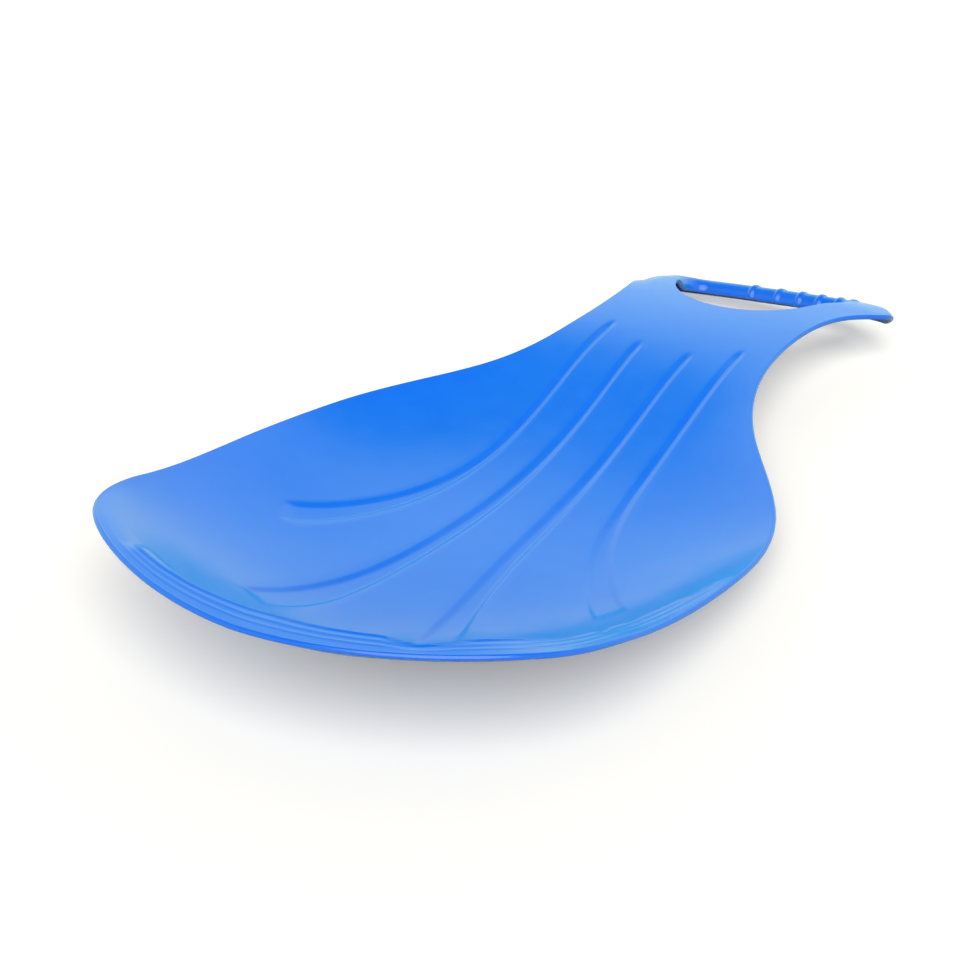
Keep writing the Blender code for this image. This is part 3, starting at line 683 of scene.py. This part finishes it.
def build_moulding(sizes):
    """Points, faces and rim places of the moulding, in millimetres, with its rear lip at y = 0."""
    surface = SliderSurface(sizes)
    builder = MeshBuilder()
    rear_rim, junction_ids = add_dish(surface, builder)
    slot_ids, front_rim = add_grip(surface, builder, junction_ids)
    rim_ids = np.concatenate((rear_rim[:-1], front_rim))
    legs = (add_edge(surface, builder, rim_ids, -1.0, FRONT_TURN, FRONT_RADIUS),
            add_edge(surface, builder, slot_ids, 1.0, SLOT_TURN, BACK_RADIUS))
    upper, faces = builder.arrays()
    normals = point_normals(upper, faces)
    lower = upper - normals * sizes.wall / MM
    lower[:, 2] = np.maximum(lower[:, 2], 0.0)
    along, inward = surface.rim_place(upper[:, :2])
    raised = ring_swell(surface, upper, normals)
    raised[:, 2] += surface.brim_marks(along, inward)

    count = len(upper)
    points = [raised, lower]
    rim_places = [np.column_stack((along, inward))] * 2
    all_faces = [faces, faces[:, ::-1] + count]
    total = 2 * count
    for ids, direction in legs:
        middle = 0.5 * (raised[ids] + lower[ids])
        span = 0.5 * (raised[ids] - lower[ids])
        rows = [ids]
        for angle in np.linspace(0.0, math.pi, EDGE_STEPS + 1)[1:-1]:
            rise = math.copysign(abs(math.cos(angle)) ** EDGE_SQUARENESS, math.cos(angle))
            bulge = math.sin(angle) ** EDGE_SQUARENESS
            points.append(middle + span * rise + direction * (sizes.edge_round / MM * bulge))
            rim_places.append(rim_places[0][ids])
            rows.append(np.arange(total, total + len(ids)))
            total += len(ids)
        rows.append(ids + count)
        all_faces += [quad_strip(near, far, closed=True) for near, far in zip(rows, rows[1:])]
    return surface.twisted(np.concatenate(points)), np.concatenate(all_faces), np.concatenate(rim_places)


def mesh_object(name, points, faces, rim_places, material):
    """A smooth object at the origin, with its places along and inside the rim as a UV map."""
    mesh = bpy.data.meshes.new(name)
    mesh.from_pydata(points.tolist(), [], faces.tolist())
    mesh.validate()
    work = bmesh.new()
    work.from_mesh(mesh)
    bmesh.ops.recalc_face_normals(work, faces=work.faces)
    work.to_mesh(mesh)
    work.free()
    layer = mesh.uv_layers.new(name="rim_place")
    corners = np.empty(len(mesh.loops), int)
    mesh.loops.foreach_get("vertex_index", corners)
    layer.data.foreach_set("uv", rim_places[corners].ravel())
    mesh.shade_smooth()
    mesh.materials.append(material)
    obj = bpy.data.objects.new(name, mesh)
    bpy.context.scene.collection.objects.link(obj)
    return obj


def srgb(hex_colour):
    """Linear colour of an sRGB hex value."""
    values = [int(hex_colour[i:i + 2], 16) / 255.0 for i in (1, 3, 5)]
    return [value / 12.92 if value <= 0.04045 else ((value + 0.055) / 1.055) ** 2.4 for value in values]


def add_node(tree, kind, settings=None, links=None, **attributes):
    """A node with its attributes, socket values and incoming links."""
    node = tree.nodes.new(kind)
    for key, value in attributes.items():
        setattr(node, key, value)
    for key, value in (settings or {}).items():
        node.inputs[key].default_value = value
    for key, source in (links or {}).items():
        tree.links.new(source, node.inputs[key])
    return node


class SliderSizes(bpy.types.PropertyGroup):
    """Sizes of the moulding."""

    wall: bpy.props.FloatProperty(
        name="Wall", description="Thickness of the moulded sheet",
        default=3.0 * MM, min=2.0 * MM, max=5.0 * MM, unit="LENGTH")
    runner_depth: bpy.props.FloatProperty(
        name="Runner depth", description="Depth of the pressed runners",
        default=1.4 * MM, min=0.5 * MM, max=6.0 * MM, unit="LENGTH")
    brim_width_scale: bpy.props.FloatProperty(
        name="Brim width", description="Width of the flat rear brim, as a share of its full width",
        default=1.0, min=0.3, max=1.2, subtype="FACTOR")
    edge_round: bpy.props.FloatProperty(
        name="Edge round", description="Bulge of the rounded sheet edge",
        default=1.0 * MM, min=0.3 * MM, max=1.5 * MM, unit="LENGTH")
    edge_land: bpy.props.FloatProperty(
        name="Edge land", description="Straight run before the edge round",
        default=0.5 * MM, min=0.2 * MM, max=2.0 * MM, unit="LENGTH")
    bar_depth: bpy.props.FloatProperty(
        name="Bar depth", description="Depth of the grip bar's channel",
        default=9.0 * MM, min=7.0 * MM, max=14.0 * MM, unit="LENGTH")
    ring_width: bpy.props.FloatProperty(
        name="Ring width", description="Width of one ring of the grip at its foot",
        default=4.2 * MM, min=2.0 * MM, max=8.0 * MM, unit="LENGTH")
    ring_height: bpy.props.FloatProperty(
        name="Ring height", description="How far a ring stands out of the grip bar",
        default=1.1 * MM, min=0.5 * MM, max=3.0 * MM, unit="LENGTH")
    grip_twist: bpy.props.FloatProperty(
        name="Grip twist", description="Lean of the grip's front edge, right end up",
        default=math.radians(5.2), min=0.0, max=math.radians(10.0), subtype="ANGLE")


class SliderColours(bpy.types.PropertyGroup):
    """Colours of the moulding and the stage."""

    plastic: bpy.props.FloatVectorProperty(
        name="Plastic", description="Colour of the moulded polyethylene",
        default=srgb("#0A50E2"), min=0.0, max=1.0, subtype="COLOR")
    plastic_pale: bpy.props.FloatVectorProperty(
        name="Pale plastic", description="Colour of the plastic where it cooled last",
        default=srgb("#1460E8"), min=0.0, max=1.0, subtype="COLOR")
    paper: bpy.props.FloatVectorProperty(
        name="Paper", description="Colour of the paper that the slider stands on",
        default=srgb("#FAF8F0"), min=0.0, max=1.0, subtype="COLOR")


class SliderStage(bpy.types.PropertyGroup):
    """Light on the slider and size of the paper."""

    lamp_strength: bpy.props.FloatProperty(
        name="Lamp", description="Strength of the soft lamp on the camera's side",
        default=2.5, min=0.0, max=10.0)
    lamp_spread: bpy.props.FloatProperty(
        name="Lamp spread", description="Angle over which the soft lamp is seen from the slider",
        default=math.radians(55.0), min=0.0, max=math.radians(120.0), subtype="ANGLE")
    wall_light: bpy.props.FloatProperty(
        name="Walls", description="Level of the light from the studio walls", default=1.3, min=0.0, max=5.0)
    paper_side: bpy.props.FloatProperty(
        name="Paper size", description="Side of the paper on the floor",
        default=30.0, min=4.0, max=60.0, unit="LENGTH")


# Patterns of the plastic, in millimetres. The peel and the streaks are really about a third as
# large, which is too fine to show, so they are drawn as coarse as they need to be.
MOTTLE_SIZE = 14.0
WARP_SIZE = 38.0
WARP_DEPTH = 0.3
PEEL_SIZE = 2.2
PEEL_DEPTH = 0.012
STREAK_LENGTH = 45.0
STREAK_WIDTH = 1.6
STREAK_DEPTH = 0.07
STREAK_BAND = (13.0, 19.0)

# Gloss, haze and paleness of the plastic. The mottle shows between the values of NOISE_RANGE.
PLASTIC_IOR = 1.54
SMOOTHEST = 0.17
ROUGHEST = 0.26
NOISE_RANGE = (0.3, 0.7)
PALE_SHARE = 0.35
SKIN_HAZE = "#28BEE6"
HAZE_WEIGHT = 0.6
HAZE_ROUGHNESS = 0.9

# Sockets of a Mix node for colours. They go by number, because their names repeat.
MIX_FACTOR = 0
MIX_FIRST = 6
MIX_SECOND = 7
MIX_RESULT = 2


def moulded_polyethylene(colours):
    """High-density polyethylene, injection moulded against a polished tool: deep, glossy blue.

    The sheet cools unevenly, so its gloss is mottled and its face slightly wavy. The skin is
    waxy, which gives flat views a pale haze. The brim is streaked along its edge.
    """
    material = bpy.data.materials.new("moulded_polyethylene")
    material.use_nodes = True
    tree = material.node_tree
    shader = tree.nodes["Principled BSDF"]
    shader.inputs["IOR"].default_value = PLASTIC_IOR
    shader.inputs["Sheen Weight"].default_value = HAZE_WEIGHT
    shader.inputs["Sheen Roughness"].default_value = HAZE_ROUGHNESS
    shader.inputs["Sheen Tint"].default_value = (*srgb(SKIN_HAZE), 1.0)
    coords = add_node(tree, "ShaderNodeTexCoord")
    place = coords.outputs["Object"]
    mottle = add_node(tree, "ShaderNodeTexNoise", {"Scale": 1.0 / (MOTTLE_SIZE * MM), "Detail": 3.0},
                      {"Vector": place})
    low, high = NOISE_RANGE
    tone = add_node(tree, "ShaderNodeMapRange",
                    {"From Min": low, "From Max": high, "To Max": PALE_SHARE},
                    {"Value": mottle.outputs["Fac"]})
    colour = add_node(tree, "ShaderNodeMix",
                      {MIX_FIRST: (*colours.plastic, 1.0), MIX_SECOND: (*colours.plastic_pale, 1.0)},
                      {MIX_FACTOR: tone.outputs["Result"]}, data_type="RGBA")
    tree.links.new(colour.outputs[MIX_RESULT], shader.inputs["Base Color"])
    gloss = add_node(tree, "ShaderNodeMapRange",
                     {"From Min": low, "From Max": high, "To Min": SMOOTHEST, "To Max": ROUGHEST},
                     {"Value": mottle.outputs["Fac"]})
    tree.links.new(gloss.outputs["Result"], shader.inputs["Roughness"])
    warp = add_node(tree, "ShaderNodeTexNoise", {"Scale": 1.0 / (WARP_SIZE * MM), "Detail": 1.0},
                    {"Vector": place})
    peel = add_node(tree, "ShaderNodeTexNoise", {"Scale": 1.0 / (PEEL_SIZE * MM), "Detail": 1.0},
                    {"Vector": place})
    rim = add_node(tree, "ShaderNodeUVMap", uv_map="rim_place")
    run = add_node(tree, "ShaderNodeMapping",
                   {"Scale": (1.0 / (STREAK_LENGTH * MM), 1.0 / (STREAK_WIDTH * MM), 1.0)},
                   {"Vector": rim.outputs["UV"]})
    streaks = add_node(tree, "ShaderNodeTexNoise", {"Scale": 1.0, "Detail": 2.0},
                       {"Vector": run.outputs["Vector"]})
    inward = add_node(tree, "ShaderNodeSeparateXYZ", links={"Vector": rim.outputs["UV"]})
    start, stop = STREAK_BAND
    band = add_node(tree, "ShaderNodeMapRange",
                    {"From Min": start * MM, "From Max": stop * MM, "To Min": 1.0, "To Max": 0.0},
                    {"Value": inward.outputs["Y"]})
    streaked = add_node(tree, "ShaderNodeMath", operation="MULTIPLY",
                        links={0: streaks.outputs["Fac"], 1: band.outputs["Result"]})
    waves = add_node(tree, "ShaderNodeBump", {"Strength": 1.0, "Distance": WARP_DEPTH * MM},
                     {"Height": warp.outputs["Fac"]})
    skin = add_node(tree, "ShaderNodeBump", {"Strength": 1.0, "Distance": PEEL_DEPTH * MM},
                    {"Height": peel.outputs["Fac"], "Normal": waves.outputs["Normal"]})
    drawn = add_node(tree, "ShaderNodeBump", {"Strength": 1.0, "Distance": STREAK_DEPTH * MM},
                     {"Height": streaked.outputs[0], "Normal": skin.outputs["Normal"]})
    tree.links.new(drawn.outputs["Normal"], shader.inputs["Normal"])
    return material


# Matt white paper. It shows white to the eye and in reflections, and darker as a source of
# bounced light, so that little of the slider's blue comes back into its shadow. It lies a hair
# below the runners, so that the two don't share a plane.
PAPER_GAP = 0.1
PAPER_LIFT = 0.17
PAPER_BOUNCE = "#444444"
PAPER_GLOW = "#FFFFFF"
PAPER_ROUGHNESS = 0.9

# Light of the room: level of the walls and ceiling at the sine of the height above the horizon.
# WALL_REAR_BIAS makes it brighter beyond the slider, and dimmer by the same share on the near side.
LAMP_ELEVATION = 45.0
WALL_LEVELS = (
    (0.0, 0.74), (0.1, 0.76), (0.3, 0.78), (0.5, 0.7), (0.67, 0.44), (0.77, 0.1), (1.0, 0.03),
)
WALL_REAR_BIAS = 0.3


def white_paper(colours):
    """Uncoated paper, rolled matt: no gloss, and an even white behind the slider."""
    material = bpy.data.materials.new("white_paper")
    material.use_nodes = True
    tree = material.node_tree
    shader = tree.nodes["Principled BSDF"]
    shader.inputs["Roughness"].default_value = PAPER_ROUGHNESS
    shader.inputs["Specular IOR Level"].default_value = 0.0
    shader.inputs["Emission Color"].default_value = (*srgb(PAPER_GLOW), 1.0)
    path = add_node(tree, "ShaderNodeLightPath")
    seen = add_node(tree, "ShaderNodeMath", operation="ADD",
                    links={0: path.outputs["Is Camera Ray"], 1: path.outputs["Is Glossy Ray"]})
    seen = add_node(tree, "ShaderNodeMath", operation="ADD",
                    links={0: seen.outputs[0], 1: path.outputs["Is Transmission Ray"]})
    colour = add_node(tree, "ShaderNodeMix",
                      {MIX_FIRST: (*srgb(PAPER_BOUNCE), 1.0), MIX_SECOND: (*colours.paper, 1.0)},
                      {MIX_FACTOR: seen.outputs[0]}, data_type="RGBA")
    tree.links.new(colour.outputs[MIX_RESULT], shader.inputs["Base Color"])
    lift = add_node(tree, "ShaderNodeMath", {1: PAPER_LIFT}, {0: seen.outputs[0]}, operation="MULTIPLY")
    tree.links.new(lift.outputs[0], shader.inputs["Emission Strength"])
    return material


def camera_side(elevation):
    """Direction from the slider to the camera's side of the room, at an elevation."""
    level = math.cos(elevation)
    return Vector((math.sin(CAMERA_AZIMUTH) * level, -math.cos(CAMERA_AZIMUTH) * level,
                   math.sin(elevation)))


def studio_room(stage):
    """World light: pale studio walls, brighter beyond the slider, under a dim ceiling."""
    world = bpy.data.worlds.new("studio_room")
    world.use_nodes = True
    tree = world.node_tree
    back = tree.nodes["Background"]
    coords = add_node(tree, "ShaderNodeTexCoord")
    split = add_node(tree, "ShaderNodeSeparateXYZ", links={"Vector": coords.outputs["Generated"]})
    ramp = add_node(tree, "ShaderNodeValToRGB", links={"Fac": split.outputs["Z"]})
    stops = ramp.color_ramp.elements
    for place, _ in WALL_LEVELS[2:]:
        stops.new(place)
    for stop, (place, level) in zip(stops, WALL_LEVELS):
        stop.position = place
        stop.color = (level, level, level, 1.0)
    beyond = add_node(tree, "ShaderNodeVectorMath", {1: -camera_side(0.0)},
                      {0: coords.outputs["Generated"]}, operation="DOT_PRODUCT")
    bias = add_node(tree, "ShaderNodeMath", {1: WALL_REAR_BIAS, 2: 1.0}, {0: beyond.outputs["Value"]},
                    operation="MULTIPLY_ADD")
    light = add_node(tree, "ShaderNodeVectorMath", operation="SCALE",
                     links={0: ramp.outputs["Color"], "Scale": bias.outputs[0]})
    tree.links.new(light.outputs[0], back.inputs["Color"])
    back.inputs["Strength"].default_value = stage.wall_light
    return world


def add_paper(colours, stage):
    """Sheet of paper on the floor, under the slider and far beyond it."""
    half = 0.5 * stage.paper_side
    corners = [(x * half, y * half, -PAPER_GAP * MM) for x, y in ((-1, -1), (1, -1), (1, 1), (-1, 1))]
    mesh = bpy.data.meshes.new("paper")
    mesh.from_pydata(corners, [], [(0, 1, 2, 3)])
    mesh.materials.append(white_paper(colours))
    paper = bpy.data.objects.new("paper", mesh)
    bpy.context.scene.collection.objects.link(paper)


def add_soft_lamp(stage):
    """Soft lamp above the camera."""
    lamp = bpy.data.lights.new("soft_lamp", "SUN")
    lamp.angle = stage.lamp_spread
    lamp.energy = stage.lamp_strength
    obj = bpy.data.objects.new("soft_lamp", lamp)
    bpy.context.scene.collection.objects.link(obj)
    toward = camera_side(math.radians(LAMP_ELEVATION))
    obj.location = toward
    obj.rotation_euler = toward.to_track_quat("Z", "Y").to_euler()


def add_camera():
    """Camera that sees the slider as the photograph shows it."""
    camera = bpy.data.cameras.new("camera")
    camera.sensor_width = SENSOR_WIDTH
    camera.lens = FOCAL_PIXELS / PICTURE_PIXELS * SENSOR_WIDTH
    camera.shift_x = PICTURE_MIDDLE[0] / PICTURE_PIXELS
    camera.shift_y = -PICTURE_MIDDLE[1] / PICTURE_PIXELS
    camera.clip_start = NEAR_CLIP
    obj = bpy.data.objects.new("camera", camera)
    bpy.context.scene.collection.objects.link(obj)
    view = -camera_side(CAMERA_FALL)
    right = Vector((math.cos(CAMERA_AZIMUTH), math.sin(CAMERA_AZIMUTH), 0.0))
    up = right.cross(view)
    across = right * math.cos(CAMERA_ROLL) + up * math.sin(CAMERA_ROLL)
    upright = up * math.cos(CAMERA_ROLL) - right * math.sin(CAMERA_ROLL)
    matrix = Matrix((across, upright, -view)).transposed().to_4x4()
    matrix.translation = Vector(CAMERA_PLACE)
    obj.matrix_world = matrix
    bpy.context.scene.camera = obj


class SLIDER_OT_moulding(bpy.types.Operator):
    """Build the moulding in place of its CAD solid"""

    bl_idname = "slider.moulding"
    bl_label = "Moulding"

    def execute(self, context):
        scene = context.scene
        points, faces, rim_places = build_moulding(scene.slider_sizes)
        low, high = (np.array(corner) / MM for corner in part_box("slider_moulding"))
        middle = 0.5 * (points.min(axis=0) + points.max(axis=0))
        shift = 0.5 * (low + high) - middle
        shift[2] = low[2] - points[:, 2].min()
        material = moulded_polyethylene(scene.slider_colours)
        shell = mesh_object("slider_shell", (points + shift) * MM, faces, rim_places * MM, material)
        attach(shell, "root")
        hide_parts("slider_moulding")
        return {"FINISHED"}


class SLIDER_OT_stage(bpy.types.Operator):
    """Build the paper, the light and the camera"""

    bl_idname = "slider.stage"
    bl_label = "Stage"

    def execute(self, context):
        scene = context.scene
        scene.view_settings.view_transform = "Standard"
        add_paper(scene.slider_colours, scene.slider_stage)
        scene.world = studio_room(scene.slider_stage)
        add_soft_lamp(scene.slider_stage)
        add_camera()
        return {"FINISHED"}


class SLIDER_PT_panel(bpy.types.Panel):
    """Sizes, colours and builders of the snow slider"""

    bl_idname = "SLIDER_PT_panel"
    bl_label = "Snow slider"
    bl_space_type = "VIEW_3D"
    bl_region_type = "UI"
    bl_category = "Snow slider"

    def draw(self, context):
        scene = context.scene
        for group in (scene.slider_sizes, scene.slider_colours, scene.slider_stage):
            box = self.layout.box()
            for name in type(group).__annotations__:
                box.prop(group, name)
        self.layout.operator("slider.moulding")
        self.layout.operator("slider.stage")


CLASSES = (SliderSizes, SliderColours, SliderStage, SLIDER_OT_moulding, SLIDER_OT_stage, SLIDER_PT_panel)


def register():
    """Register the classes and give every scene the slider's sizes, colours and stage."""
    for cls in CLASSES:
        bpy.utils.register_class(cls)
    bpy.types.Scene.slider_sizes = bpy.props.PointerProperty(type=SliderSizes)
    bpy.types.Scene.slider_colours = bpy.props.PointerProperty(type=SliderColours)
    bpy.types.Scene.slider_stage = bpy.props.PointerProperty(type=SliderStage)


def unregister():
    """Take away what register added, in the opposite order."""
    del bpy.types.Scene.slider_stage
    del bpy.types.Scene.slider_colours
    del bpy.types.Scene.slider_sizes
    for cls in reversed(CLASSES):
        bpy.utils.unregister_class(cls)


def main():
    """Build the slider and its stage."""
    register()
    bpy.ops.slider.moulding()
    bpy.ops.slider.stage()


if __name__ == "__main__":
    main()
